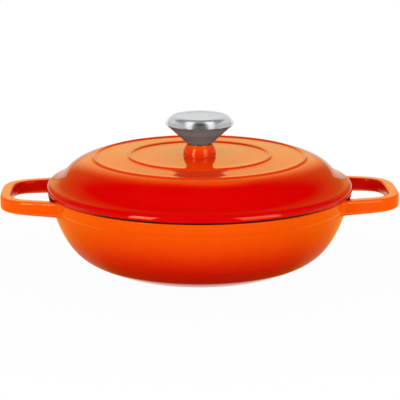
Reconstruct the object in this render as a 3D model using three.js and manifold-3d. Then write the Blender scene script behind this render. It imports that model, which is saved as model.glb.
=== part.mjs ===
// Lidded shallow pan in enamelled cast iron, with two loop handles and a steel knob on the lid.
// Millimetres, +Z up. The origin is the centre of the base, and X runs through both handles.

import * as THREE from 'three';
import { mergeVertices } from 'three/addons/utils/BufferGeometryUtils.js';
import Module from 'manifold-3d';

const wasm = await Module();
wasm.setup();

// Fits between pieces
const SEAT_GAP = 0.3;
const LID_CLEARANCE = 1.2;
const SCREW_CLEARANCE = 0.5;

// Bowl of the pan
const BASE_RADIUS = 94.5;
const FOOT_WIDTH = 11;
const FOOT_RECESS = 1.2;
const RIM_RADIUS = 149.4;
const RIM_HEIGHT = 74.2;
const RIM_EDGE = 1.2;
const BAND_HEIGHT = 12;
const BAND_PROUD = 0.8;
const PAN_WALL = 4.2;
const PAN_FLOOR = 5;
const FLOOR_BLEND = 9;
const WALL_FOOT_ANGLE = 35;
const WALL_FOOT_PULL = 13.5;
const WALL_RIM_LEAN = 12.2;
const WALL_FULLNESS = 0.97;

// Loop handles
const HANDLE_STANDOUT = 45.2;
const HANDLE_SPREAD = 59.3;
const HANDLE_TAPER = 0.16;
const HANDLE_OUTER_SQUARENESS = 4.1;
const HANDLE_INNER_SQUARENESS = 4.75;
const HANDLE_TIP_WIDTH = 10.8;
const HANDLE_ARM_WIDTH = 12.7;
const HANDLE_TIP_DEPTH = 12.7;
const HANDLE_ROOT_DEPTH = 14.4;
const HANDLE_DROP = 0.2;
const HANDLE_EDGE = 2.8;
const ROOT_FILLET = 8;
const ROOT_FILLET_UPRIGHT = 2;

// Lid
const LID_OVERHANG = 0.6;
const LID_WALL = 4.6;
const LID_EDGE_BELOW = 2.7;
const LID_EDGE_ABOVE = 5.8;
const LID_EDGE_UNDERCUT = 1.6;
const LID_EDGE_ROUND = 5.8;
const BRIM_WIDTH = 12.8;
const COVE_SHARE = 0.1;
const DOME_FOOT_RISE = 1.6;
const DOME_FOOT_ANGLE = 58;
const DOME_FOOT_PULL = 12.8;
const DOME_RUN = 29;
const TOP_RISE = 31.5;
const TOP_EDGE_ANGLE = 15;
const TOP_EDGE_PULL = 17;
const CROWN = 2.2;
const INNER_BEAD_RADIUS = 68.8;
const OUTER_BEAD_INSET = 5;
const BEAD_WIDTH = 6.2;
const BEAD_HEIGHT = 1.5;
const SKIRT_DEPTH = 4;
const SKIRT_WALL = 4;
const SKIRT_CHAMFER = 1;

// Boss on the lid
const BOSS_HEIGHT = 11;
const BOSS_TOP_RADIUS = 12.5;
const BOSS_FOOT_RADIUS = 16;
const BOSS_BULGE = 0.6;
const BOSS_EDGE = 1;
const BOSS_FILLET = 1.5;

// Knob
const KNOB_RADIUS = 33;
const KNOB_NECK_RADIUS = 12.2;
const KNOB_NECK_CHAMFER = 0.6;
const KNOB_HEIGHT = 27.6;
const KNOB_CONE_HEIGHT = 19;
const KNOB_LIP = 1.1;
const KNOB_LIP_INSET = 0.3;
const KNOB_FLAT_RADIUS = 25.6;
const KNOB_SHOULDER_RISE = 4.4;
const KNOB_SHOULDER_RUN = 2.6;
const KNOB_WALL = 1.4;
const KNOB_PLATE = 1.6;
const KNOB_SHOW_GAP = 0.5;
const SPIGOT_DEPTH = 2.4;

// Fastening of the knob
const GASKET_RADIUS = 10;
const GASKET_THICKNESS = 1;
const SCREW_RADIUS = 3;
const SCREW_LENGTH = 30;
const SCREW_HEAD_RADIUS = 5.6;
const SCREW_HEAD_HEIGHT = 3.6;
const SCREW_EDGE = 0.8;
const DRIVE_LENGTH = 6.4;
const DRIVE_WIDTH = 1.2;
const DRIVE_DEPTH = 1.9;
const FLAT_WASHER_RADIUS = 9;
const LOCK_WASHER_RADIUS = 5.6;
const WASHER_THICKNESS = 1.6;
const LOCK_SPLIT = 1;
const LOCK_SPLIT_ANGLE = 25;
const INSERT_RADIUS = 6.5;
const INSERT_CROWN = 3;
const INSERT_FLANGE_RADIUS = 9;
const INSERT_FLANGE = 2;
const INSERT_SPIGOT_RADIUS = 5;
const BORE_SPARE = 1;

// Fineness of the curves
const LARGE_SEGMENTS = 52;
const KNOB_SEGMENTS = 36;
const SMALL_SEGMENTS = 24;
const WALL_STEPS = 11;
const DOME_STEPS = 7;
const COVE_STEPS = 3;
const EDGE_STEPS = 3;
const SHOULDER_STEPS = 5;
const HANDLE_STEPS = 28;
const RUN_IN_STEPS = 7;
const CORNER_STEPS = 3;
const MERGE_DISTANCE = 1e-4;
const CUT_MARGIN = 10;

// Radii that the pan's rim and the fits set
const LID_RADIUS = RIM_RADIUS + LID_OVERHANG;
const DOME_FOOT_RADIUS = LID_RADIUS - BRIM_WIDTH;
const TOP_RADIUS = DOME_FOOT_RADIUS - DOME_RUN;
const BEAD_RADII = [INNER_BEAD_RADIUS, TOP_RADIUS - OUTER_BEAD_INSET];
const SCREW_HOLE_RADIUS = SCREW_RADIUS + SCREW_CLEARANCE;
const BORE_RADIUS = SCREW_RADIUS + SEAT_GAP;
const PLATE_HOLE_RADIUS = INSERT_SPIGOT_RADIUS + SEAT_GAP;
const SEAM_RADIUS = KNOB_RADIUS - KNOB_LIP_INSET;

// Heights that the seats set, from the pan's rim up
const LID_SEAT = RIM_HEIGHT + SEAT_GAP;
const LEDGE_HEIGHT = LID_SEAT + LID_EDGE_BELOW + LID_EDGE_ABOVE;
const TOP_EDGE_HEIGHT = LID_SEAT + TOP_RISE;
const LID_CEILING = crownHeight(0) - LID_WALL;
const BOSS_TOP = crownHeight(0) + BOSS_HEIGHT;
const GASKET_BOTTOM = BOSS_TOP + SEAT_GAP;
const GASKET_TOP = GASKET_BOTTOM + GASKET_THICKNESS;
const KNOB_BOTTOM = BOSS_TOP + KNOB_SHOW_GAP;
const KNOB_RECESS = GASKET_TOP + SEAT_GAP;
const KNOB_PLATE_TOP = KNOB_RECESS + KNOB_PLATE;
const KNOB_SEAM = KNOB_BOTTOM + KNOB_CONE_HEIGHT;
const KNOB_TOP = KNOB_BOTTOM + KNOB_HEIGHT;
const FLAT_WASHER_BOTTOM = LID_CEILING - SEAT_GAP - WASHER_THICKNESS;
const LOCK_WASHER_BOTTOM = FLAT_WASHER_BOTTOM - SEAT_GAP - WASHER_THICKNESS;
const SCREW_HEAD_TOP = LOCK_WASHER_BOTTOM - SEAT_GAP;
const SCREW_TIP = SCREW_HEAD_TOP + SCREW_LENGTH;
const INSERT_SEAT = KNOB_PLATE_TOP + SEAT_GAP;

// Small geometry helpers

function point(radius, height) {
  return new THREE.Vector2(radius, height);
}

function radians(degrees) {
  return THREE.MathUtils.degToRad(degrees);
}

// The point at a distance from another, in a direction given in degrees from the outward radius.
function pulled(from, degrees, distance) {
  const turn = radians(degrees);
  return point(from.x + distance * Math.cos(turn), from.y + distance * Math.sin(turn));
}

// A quarter of an ellipse, from one angle to another in degrees.
function ellipseArc(centre, radiusAcross, radiusUp, fromDegrees, toDegrees) {
  const clockwise = toDegrees < fromDegrees;
  const curve = new THREE.EllipseCurve(
    centre.x, centre.y, radiusAcross, radiusUp, radians(fromDegrees), radians(toDegrees), clockwise);
  return curve.getPoints(EDGE_STEPS);
}

// The same outline moved sideways by a distance, to the left of its direction of travel.
function parallel(points, distance) {
  return points.map((here, i) => {
    const before = points[Math.max(i - 1, 0)];
    const after = points[Math.min(i + 1, points.length - 1)];
    const along = after.clone().sub(before).normalize();
    return point(here.x - along.y * distance, here.y + along.x * distance);
  });
}

// The radius of a rising outline at a height.
function radiusAt(points, height) {
  const above = points.findIndex((p) => p.y >= height);
  const low = points[above - 1];
  const high = points[above];
  const share = (height - low.y) / (high.y - low.y);
  return THREE.MathUtils.lerp(low.x, high.x, share);
}

// How far a fillet has spread at a distance from the wall that it runs into.
function filletSpread(distance, radius) {
  const depth = THREE.MathUtils.clamp(radius - distance, 0, radius);
  return radius - Math.sqrt(radius * radius - depth * depth);
}

// Position-only geometry with shared corners and no collapsed triangles.
function welded(geometry) {
  geometry.deleteAttribute('normal');
  geometry.deleteAttribute('uv');
  const joined = mergeVertices(geometry, MERGE_DISTANCE);
  const corners = joined.index.array;
  const kept = [];
  for (let i = 0; i < corners.length; i += 3) {
    const [a, b, c] = corners.slice(i, i + 3);
    if (a !== b && b !== c && c !== a) {
      kept.push(a, b, c);
    }
  }
  joined.setIndex(kept);
  return joined;
}

function solidOf(geometry) {
  const mesh = welded(geometry);
  const vertProperties = new Float32Array(mesh.getAttribute('position').array);
  const triVerts = new Uint32Array(mesh.index.array);
  return new wasm.Manifold(new wasm.Mesh({ numProp: 3, vertProperties, triVerts }));
}

function geometryOf(solid) {
  const mesh = solid.getMesh();
  const geometry = new THREE.BufferGeometry();
  geometry.setAttribute('position', new THREE.BufferAttribute(mesh.vertProperties, 3));
  geometry.setIndex(new THREE.BufferAttribute(mesh.triVerts, 1));
  return geometry;
}

// A body turned about the Z axis from a profile that runs with its material on the left.
function turned(profile, segments) {
  return new THREE.LatheGeometry(profile, segments).rotateX(Math.PI / 2);
}

// A turned ring or shell, whose profile closes on itself.
function turnedRing(profile, segments) {
  return turned([...profile, profile[0].clone()], segments);
}

function block(width, depth, height) {
  return new THREE.BoxGeometry(width, depth, height);
}

function piece(name, geometry, material) {
  geometry.computeVertexNormals();
  const mesh = new THREE.Mesh(geometry, material);
  mesh.name = name;
  return mesh;
}

// Pan: the bowl's wall is one curve from the soft corner of the base to the leaning rim.
function panWall() {
  const foot = point(BASE_RADIUS, 0);
  const rim = point(RIM_RADIUS - BAND_PROUD, RIM_HEIGHT);
  const footPull = pulled(foot, WALL_FOOT_ANGLE, WALL_FOOT_PULL);
  const rimPull = pulled(rim, 270 - WALL_RIM_LEAN, WALL_FULLNESS * RIM_HEIGHT);
  return new THREE.CubicBezierCurve(foot, footPull, rimPull, rim).getPoints(WALL_STEPS);
}

function panCavityWall() {
  return parallel(panWall(), PAN_WALL);
}

function rimInnerRadius() {
  return radiusAt(panCavityWall(), RIM_HEIGHT);
}

function panBlank() {
  const wall = panWall();
  const bandBottom = RIM_HEIGHT - BAND_HEIGHT;
  const bandFoot = radiusAt(wall, bandBottom);
  const footInner = BASE_RADIUS - FOOT_WIDTH;
  const rimCorner = point(RIM_RADIUS - RIM_EDGE, RIM_HEIGHT - RIM_EDGE);
  const profile = [
    point(0, FOOT_RECESS),
    point(footInner - FOOT_RECESS, FOOT_RECESS),
    point(footInner, 0),
    ...wall.filter((p) => p.y < bandBottom - BAND_PROUD),
    point(bandFoot, bandBottom),
    point(bandFoot + BAND_PROUD, bandBottom + 2 * BAND_PROUD),
    ...ellipseArc(rimCorner, RIM_EDGE, RIM_EDGE, 0, 90),
    point(0, RIM_HEIGHT),
  ];
  return solidOf(turned(profile, LARGE_SEGMENTS));
}

function panCavity() {
  const wall = panCavityWall().filter((p) => p.y > PAN_FLOOR && p.y < RIM_HEIGHT - RIM_EDGE);
  const mouth = rimInnerRadius();
  const above = RIM_HEIGHT + CUT_MARGIN;
  const profile = [
    point(0, PAN_FLOOR),
    point(wall[0].x - FLOOR_BLEND, PAN_FLOOR),
    ...wall,
    point(mouth, RIM_HEIGHT - RIM_EDGE),
    point(mouth + RIM_EDGE, RIM_HEIGHT),
    point(mouth + RIM_EDGE, above),
    point(0, above),
  ];
  return solidOf(turned(profile, LARGE_SEGMENTS));
}

// Handles: each loop is a strap lofted between two squarish outlines in plan, shallower at its tip,
// with a fillet where its arms run into the wall.
const HANDLE_ROOT_X = Math.sqrt(RIM_RADIUS ** 2 - HANDLE_SPREAD ** 2);
const HANDLE_REACH = RIM_RADIUS + HANDLE_STANDOUT - HANDLE_ROOT_X;
const ARM_BOTTOM = RIM_HEIGHT - HANDLE_DROP - HANDLE_ROOT_DEPTH;
const ROOT_WALL_RADIUS = radiusAt(panWall(), ARM_BOTTOM);
const RUN_IN = ROOT_FILLET + PAN_WALL;

// A point of a loop's plan: a superellipse that narrows towards its tip.
function loopPoint(angle, reach, spread, squareness) {
  const along = Math.abs(Math.cos(angle));
  const across = Math.sin(angle);
  const size = (along ** squareness + Math.abs(across) ** squareness) ** (-1 / squareness);
  const narrowing = 1 - HANDLE_TAPER * along * size;
  return point(HANDLE_ROOT_X + reach * along * size, spread * across * size * narrowing);
}

// Pairs of outer and inner plan points, from one root round the tip to the other root.
function handleStations() {
  const innerReach = HANDLE_REACH - HANDLE_TIP_WIDTH;
  const innerSpread = HANDLE_SPREAD - HANDLE_ARM_WIDTH;
  const stations = [];
  for (let i = 0; i <= HANDLE_STEPS; i += 1) {
    const angle = Math.PI * (i / HANDLE_STEPS - 0.5);
    stations.push({
      outer: loopPoint(angle, HANDLE_REACH, HANDLE_SPREAD, HANDLE_OUTER_SQUARENESS),
      inner: loopPoint(angle, innerReach, innerSpread, HANDLE_INNER_SQUARENESS),
    });
  }
  const moved = (station, run) => ({
    outer: point(station.outer.x - run, station.outer.y),
    inner: point(station.inner.x - run, station.inner.y),
  });
  const first = stations[0];
  const last = stations[HANDLE_STEPS];
  for (let i = 1; i <= RUN_IN_STEPS; i += 1) {
    const run = RUN_IN * i / RUN_IN_STEPS;
    stations.unshift(moved(first, run));
    stations.push(moved(last, run));
  }
  return stations;
}

// How far a point on the strap's side is from the wall under the arm, measured along X.
function distanceToWall(p, side) {
  const across = Math.abs(p.y) + side * ROOT_FILLET;
  return p.x - Math.sqrt(ROOT_WALL_RADIUS ** 2 - across ** 2);
}

function handleRing({ outer, inner }) {
  const arm = Math.sign(outer.y);
  const outerGap = distanceToWall(outer, 1);
  const innerGap = distanceToWall(inner, -1);
  const outerEdge = point(outer.x, outer.y + arm * filletSpread(outerGap, ROOT_FILLET));
  const innerEdge = point(inner.x, inner.y - arm * filletSpread(innerGap, ROOT_FILLET));
  const share = THREE.MathUtils.clamp((outer.x - HANDLE_ROOT_X) / HANDLE_REACH, 0, 1);
  const swell = filletSpread(Math.max(outerGap, innerGap), ROOT_FILLET_UPRIGHT);
  const depth = THREE.MathUtils.lerp(HANDLE_ROOT_DEPTH, HANDLE_TIP_DEPTH, share);
  const halfDepth = (depth + swell) / 2;
  const middleHeight = RIM_HEIGHT - HANDLE_DROP - halfDepth;
  const middle = outerEdge.clone().add(innerEdge).multiplyScalar(0.5);
  const across = outerEdge.clone().sub(innerEdge);
  const halfWidth = across.length() / 2;
  across.normalize();
  const ring = [];
  for (let corner = 0; corner < 4; corner += 1) {
    for (let i = 0; i <= CORNER_STEPS; i += 1) {
      const turn = (corner + i / CORNER_STEPS) * Math.PI / 2;
      const sideways = corner === 0 || corner === 3 ? 1 : -1;
      const upward = corner < 2 ? 1 : -1;
      const w = sideways * (halfWidth - HANDLE_EDGE) + HANDLE_EDGE * Math.cos(turn);
      const h = upward * (halfDepth - HANDLE_EDGE) + HANDLE_EDGE * Math.sin(turn);
      ring.push([middle.x + w * across.x, middle.y + w * across.y, middleHeight + h]);
    }
  }
  return ring;
}

// A closed body through a row of rings of equal count, with flat ends.
function loft(rings) {
  const count = rings[0].length;
  const corners = [];
  for (let r = 0; r < rings.length - 1; r += 1) {
    for (let i = 0; i < count; i += 1) {
      const next = (i + 1) % count;
      const a = r * count + i;
      const b = r * count + next;
      const c = a + count;
      const d = b + count;
      corners.push(a, c, b, b, c, d);
    }
  }
  const lastRing = (rings.length - 1) * count;
  for (let i = 1; i < count - 1; i += 1) {
    corners.push(0, i, i + 1);
    corners.push(lastRing, lastRing + i + 1, lastRing + i);
  }
  const geometry = new THREE.BufferGeometry();
  geometry.setAttribute('position', new THREE.Float32BufferAttribute(rings.flat(2), 3));
  geometry.setIndex(corners);
  return geometry;
}

function panBody() {
  const handle = loft(handleStations().map(handleRing));
  const farHandle = handle.clone().rotateZ(Math.PI);
  const casting = panBlank().add(solidOf(handle)).add(solidOf(farHandle)).subtract(panCavity());
  return geometryOf(casting);
}

// Lid: a shallow crown with two raised beads, a rounded dome wall, a ledge and a thick rolled edge.
function crownHeight(radius) {
  return TOP_EDGE_HEIGHT + CROWN * (1 - (radius / TOP_RADIUS) ** 2);
}

function domeCurve() {
  const foot = point(DOME_FOOT_RADIUS, LEDGE_HEIGHT + DOME_FOOT_RISE);
  const top = point(TOP_RADIUS, TOP_EDGE_HEIGHT);
  const footPull = pulled(foot, 180 - DOME_FOOT_ANGLE, DOME_FOOT_PULL);
  const topPull = pulled(top, -TOP_EDGE_ANGLE, TOP_EDGE_PULL);
  return new THREE.CubicBezierCurve(foot, footPull, topPull, top);
}

// The dome's wall from a share of the way up its curve to the top.
function domeFrom(share) {
  const dome = domeCurve();
  const shares = Array.from({ length: DOME_STEPS + 1 }, (_, i) => share + (1 - share) * i / DOME_STEPS);
  return shares.map((s) => dome.getPoint(s));
}

// The soft hollow between the flat ledge and the dome, from the ledge up to where the dome's wall starts.
function lidCove() {
  const dome = domeCurve();
  const start = dome.getPoint(COVE_SHARE);
  const slope = dome.getTangent(COVE_SHARE);
  const bend = start.clone().addScaledVector(slope, (LEDGE_HEIGHT - start.y) / slope.y);
  const ledge = point(bend.x + bend.distanceTo(start), LEDGE_HEIGHT);
  return new THREE.QuadraticBezierCurve(ledge, bend, start).getPoints(COVE_STEPS);
}

function lidUnderside() {
  const skirtOuter = rimInnerRadius() - LID_CLEARANCE;
  const skirtInner = skirtOuter - SKIRT_WALL;
  const skirtBottom = LID_SEAT - SKIRT_DEPTH;
  const ceiling = [FLAT_WASHER_RADIUS + BOSS_FILLET, ...BEAD_RADII].map(
    (radius) => point(radius, crownHeight(radius) - LID_WALL));
  return [
    point(SCREW_HOLE_RADIUS, LID_CEILING),
    point(FLAT_WASHER_RADIUS + SCREW_CLEARANCE, LID_CEILING),
    ...ceiling,
    ...parallel(domeFrom(0), LID_WALL).reverse(),
    point(skirtInner, skirtBottom + SKIRT_CHAMFER),
    point(skirtInner + SKIRT_CHAMFER, skirtBottom),
    point(skirtOuter - SKIRT_CHAMFER, skirtBottom),
    point(skirtOuter, skirtBottom + SKIRT_CHAMFER),
    point(skirtOuter, LID_SEAT),
  ];
}

function lidEdge() {
  const widest = LID_SEAT + LID_EDGE_BELOW;
  const lowCentre = point(LID_RADIUS - LID_EDGE_UNDERCUT, widest);
  const highCentre = point(LID_RADIUS - LID_EDGE_ROUND, widest);
  return [
    ...ellipseArc(lowCentre, LID_EDGE_UNDERCUT, LID_EDGE_BELOW, -90, 0),
    ...ellipseArc(highCentre, LID_EDGE_ROUND, LID_EDGE_ABOVE, 0, 90).slice(1),
  ];
}

function bead(radius) {
  const steps = [1, 0.5, 0, -0.5, -1];
  return steps.map((step) => {
    const at = radius + step * BEAD_WIDTH / 2;
    return point(at, crownHeight(at) + BEAD_HEIGHT * Math.cos(step * Math.PI / 2) ** 2);
  });
}

function lidTop() {
  return BEAD_RADII.toReversed().flatMap(bead);
}

function lidBoss() {
  const footHeight = crownHeight(BOSS_FOOT_RADIUS);
  const foot = point(BOSS_FOOT_RADIUS, footHeight + BOSS_FILLET);
  const shoulder = point(BOSS_TOP_RADIUS, BOSS_TOP - BOSS_EDGE);
  const middle = foot.clone().add(shoulder).multiplyScalar(0.5);
  return [
    point(BOSS_FOOT_RADIUS + BOSS_FILLET, crownHeight(BOSS_FOOT_RADIUS + BOSS_FILLET)),
    foot,
    point(middle.x + BOSS_BULGE, middle.y + BOSS_BULGE),
    shoulder,
    point(BOSS_TOP_RADIUS - BOSS_EDGE, BOSS_TOP),
    point(SCREW_HOLE_RADIUS, BOSS_TOP),
  ];
}

function lid() {
  const wall = [...lidCove(), ...domeFrom(COVE_SHARE).slice(1)];
  const profile = [...lidUnderside(), ...lidEdge(), ...wall, ...lidTop(), ...lidBoss()];
  return welded(turnedRing(profile, LARGE_SEGMENTS));
}

// Knob: a hollow cone closed by a spun cap, with a threaded insert standing on the cone's base plate.
function coneRadius(height) {
  const share = (height - KNOB_BOTTOM) / KNOB_CONE_HEIGHT;
  return THREE.MathUtils.lerp(KNOB_NECK_RADIUS, SEAM_RADIUS, share);
}

// The cone's wall measured level, which is longer than its thickness.
function coneWallAcross() {
  const slope = (SEAM_RADIUS - KNOB_NECK_RADIUS) / KNOB_CONE_HEIGHT;
  return KNOB_WALL * Math.hypot(1, slope);
}

function knobCone() {
  const recessRadius = GASKET_RADIUS + SEAT_GAP;
  const chamfer = KNOB_NECK_CHAMFER;
  const profile = [
    point(PLATE_HOLE_RADIUS, KNOB_RECESS),
    point(recessRadius, KNOB_RECESS),
    point(recessRadius, KNOB_BOTTOM),
    point(KNOB_NECK_RADIUS - chamfer, KNOB_BOTTOM),
    point(coneRadius(KNOB_BOTTOM + chamfer), KNOB_BOTTOM + chamfer),
    point(SEAM_RADIUS, KNOB_SEAM),
    point(SEAM_RADIUS - coneWallAcross(), KNOB_SEAM),
    point(coneRadius(KNOB_PLATE_TOP) - coneWallAcross(), KNOB_PLATE_TOP),
    point(PLATE_HOLE_RADIUS, KNOB_PLATE_TOP),
  ];
  return welded(turnedRing(profile, KNOB_SEGMENTS));
}

function capShoulder() {
  const widest = point(KNOB_RADIUS, KNOB_SEAM + KNOB_LIP);
  const risen = point(KNOB_RADIUS, widest.y + KNOB_SHOULDER_RISE);
  const flat = point(KNOB_FLAT_RADIUS, KNOB_TOP);
  const flatPull = point(KNOB_FLAT_RADIUS + KNOB_SHOULDER_RUN, KNOB_TOP);
  return new THREE.CubicBezierCurve(widest, risen, flatPull, flat).getPoints(SHOULDER_STEPS);
}

function knobCap() {
  const shoulder = capShoulder();
  const lining = parallel(shoulder, KNOB_WALL).reverse();
  const capBottom = KNOB_SEAM + SEAT_GAP;
  const spigotBottom = capBottom - SPIGOT_DEPTH;
  const spigotOuter = coneRadius(spigotBottom) - coneWallAcross() - SEAT_GAP;
  const spigotTopOuter = coneRadius(capBottom) - coneWallAcross() - SEAT_GAP;
  const profile = [
    point(0, KNOB_TOP - KNOB_WALL),
    ...lining,
    point(spigotTopOuter - KNOB_WALL, capBottom),
    point(spigotOuter - KNOB_WALL, spigotBottom),
    point(spigotOuter, spigotBottom),
    point(spigotTopOuter, capBottom),
    point(SEAM_RADIUS, capBottom),
    ...shoulder,
    point(0, KNOB_TOP),
  ];
  return welded(turned(profile, KNOB_SEGMENTS));
}

function knobInsert() {
  const boreTop = SCREW_TIP + BORE_SPARE;
  const flangeTop = INSERT_SEAT + INSERT_FLANGE;
  const top = boreTop + INSERT_CROWN;
  const profile = [
    point(0, boreTop),
    point(BORE_RADIUS, boreTop),
    point(BORE_RADIUS, KNOB_RECESS),
    point(INSERT_SPIGOT_RADIUS, KNOB_RECESS),
    point(INSERT_SPIGOT_RADIUS, INSERT_SEAT),
    point(INSERT_FLANGE_RADIUS, INSERT_SEAT),
    point(INSERT_FLANGE_RADIUS, flangeTop),
    point(INSERT_RADIUS, flangeTop),
    point(INSERT_RADIUS, top),
    point(0, top),
  ];
  return welded(turned(profile, SMALL_SEGMENTS));
}

// Fasteners
function ring(innerRadius, outerRadius, bottom, thickness) {
  const top = bottom + thickness;
  const profile = [
    point(innerRadius, bottom),
    point(outerRadius, bottom),
    point(outerRadius, top),
    point(innerRadius, top),
  ];
  return turnedRing(profile, SMALL_SEGMENTS);
}

function knobGasket() {
  return welded(ring(SCREW_HOLE_RADIUS, GASKET_RADIUS, GASKET_BOTTOM, GASKET_THICKNESS));
}

function flatWasher() {
  return welded(ring(SCREW_HOLE_RADIUS, FLAT_WASHER_RADIUS, FLAT_WASHER_BOTTOM, WASHER_THICKNESS));
}

// A spring washer: a ring with one slanting cut through it.
function lockWasher() {
  const whole = solidOf(ring(SCREW_HOLE_RADIUS, LOCK_WASHER_RADIUS, LOCK_WASHER_BOTTOM, WASHER_THICKNESS));
  const cut = block(2 * LOCK_WASHER_RADIUS, LOCK_SPLIT, 4 * WASHER_THICKNESS);
  cut.rotateX(radians(LOCK_SPLIT_ANGLE));
  cut.translate(LOCK_WASHER_RADIUS, 0, LOCK_WASHER_BOTTOM + WASHER_THICKNESS / 2);
  return geometryOf(whole.subtract(solidOf(cut)));
}

// A machine screw with its head below the lid and a cross recess in the head.
function knobScrew() {
  const headBottom = SCREW_HEAD_TOP - SCREW_HEAD_HEIGHT;
  const profile = [
    point(0, headBottom),
    point(SCREW_HEAD_RADIUS - SCREW_HEAD_HEIGHT / 2, headBottom),
    point(SCREW_HEAD_RADIUS, SCREW_HEAD_TOP - SCREW_HEAD_HEIGHT / 2),
    point(SCREW_HEAD_RADIUS, SCREW_HEAD_TOP),
    point(SCREW_RADIUS, SCREW_HEAD_TOP),
    point(SCREW_RADIUS, SCREW_TIP - SCREW_EDGE),
    point(SCREW_RADIUS - SCREW_EDGE, SCREW_TIP),
    point(0, SCREW_TIP),
  ];
  const slot = block(DRIVE_LENGTH, DRIVE_WIDTH, 2 * DRIVE_DEPTH).translate(0, 0, headBottom);
  const crossSlot = block(DRIVE_WIDTH, DRIVE_LENGTH, 2 * DRIVE_DEPTH).translate(0, 0, headBottom);
  const drive = solidOf(slot).add(solidOf(crossSlot));
  return geometryOf(solidOf(turned(profile, SMALL_SEGMENTS)).subtract(drive));
}

// Finishes
function finish(color, roughness, metalness) {
  return new THREE.MeshStandardMaterial({ color, roughness, metalness });
}

const panEnamel = finish(0xe84a05, 0.15, 0);
const lidEnamel = finish(0xdc1e05, 0.15, 0);
const knobSteel = finish(0xb4b4b2, 0.28, 1);
const insertBrass = finish(0xb5975a, 0.35, 1);
const gasketRubber = finish(0x2a2a2a, 0.7, 0);
const screwSteel = finish(0x9c9d9f, 0.35, 1);

const coveredPan = new THREE.Group();
coveredPan.name = 'covered_pan';
coveredPan.add(
  piece('pan_body', panBody(), panEnamel),
  piece('lid', lid(), lidEnamel),
  piece('knob_cone', knobCone(), knobSteel),
  piece('knob_cap', knobCap(), knobSteel.clone()),
  piece('knob_insert', knobInsert(), insertBrass),
  piece('knob_gasket', knobGasket(), gasketRubber),
  piece('flat_washer', flatWasher(), screwSteel),
  piece('lock_washer', lockWasher(), screwSteel.clone()),
  piece('knob_screw', knobScrew(), screwSteel.clone()),
);

export default coveredPan;
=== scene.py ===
"""Surfaces, finishes, light and camera of a covered enamelled pan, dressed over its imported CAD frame.

Lengths are in metres and angles in degrees. The pan stands on z = 0 with its handles along X, and the
camera is on the -Y side.
"""
import math
from collections import namedtuple

import bmesh
import bpy
from mathutils import Matrix, Quaternion, Vector


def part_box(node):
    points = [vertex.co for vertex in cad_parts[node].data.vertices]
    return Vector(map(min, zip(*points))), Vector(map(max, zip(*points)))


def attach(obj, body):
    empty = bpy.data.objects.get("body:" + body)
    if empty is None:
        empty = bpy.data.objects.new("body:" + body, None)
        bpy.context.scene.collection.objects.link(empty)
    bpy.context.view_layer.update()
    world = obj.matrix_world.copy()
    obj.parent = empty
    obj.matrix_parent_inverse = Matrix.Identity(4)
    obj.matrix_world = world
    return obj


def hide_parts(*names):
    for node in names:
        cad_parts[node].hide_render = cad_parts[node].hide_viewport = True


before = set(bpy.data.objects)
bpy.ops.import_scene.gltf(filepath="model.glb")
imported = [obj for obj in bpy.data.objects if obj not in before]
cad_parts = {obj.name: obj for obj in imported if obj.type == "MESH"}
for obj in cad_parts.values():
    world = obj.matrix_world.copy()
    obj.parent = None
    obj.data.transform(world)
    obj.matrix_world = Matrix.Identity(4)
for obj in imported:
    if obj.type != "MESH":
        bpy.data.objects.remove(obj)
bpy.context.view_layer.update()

# Sizes that the frame gives
PAN_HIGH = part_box("pan_body")[1]
LID_LOW, LID_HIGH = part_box("lid")
CONE_LOW, CONE_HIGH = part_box("knob_cone")
CAP_LOW, CAP_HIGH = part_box("knob_cap")
INSERT_LOW, INSERT_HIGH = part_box("knob_insert")
GASKET_LOW, GASKET_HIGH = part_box("knob_gasket")
FLAT_LOW, FLAT_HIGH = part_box("flat_washer")
LOCK_LOW, LOCK_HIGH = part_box("lock_washer")
SCREW_LOW, SCREW_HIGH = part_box("knob_screw")
RIM_RADIUS = PAN_HIGH.y
RIM_HEIGHT = PAN_HIGH.z
LID_RADIUS = LID_HIGH.y
BOSS_TOP = LID_HIGH.z

# Gap between pieces that touch
SEAT_GAP = 0.0003

# Pan
BASE_RADIUS = 0.0945
FOOT_WIDTH = 0.011
FOOT_RECESS = 0.0012
FOOT_EDGE = 0.0015
PAN_WALL = 0.0042
PAN_FLOOR = 0.005
FLOOR_BLEND = 0.015
WALL_FOOT_ANGLE = 35
WALL_FOOT_PULL = 0.0135
WALL_RIM_LEAN = 12.2
WALL_RIM_PULL = 0.072
WALL_STEPS = 160
BAND_HEIGHT = 0.012
BAND_PROUD = 0.0008
BAND_LIP = 0.0008
BAND_BOTTOM = RIM_HEIGHT - BAND_HEIGHT
RIM_EDGE = 0.0016

# Rings of the pan's cage: radii under the base, heights of the wall and lining, and runs in from the corner
BASE_RINGS = (0.03, 0.06)
WALL_RINGS = (0.001, 0.0035, 0.0075, 0.0125, 0.0185, 0.026, 0.0345, 0.0435, 0.051)
LINING_RINGS = (0.066, 0.057, 0.047, 0.037, 0.028, 0.02, 0.0135)
FLOOR_RINGS = (FLOOR_BLEND, 0.03, 0.055)
PAN_COLUMNS = 124
PAN_SUBDIVISION = 2

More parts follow.
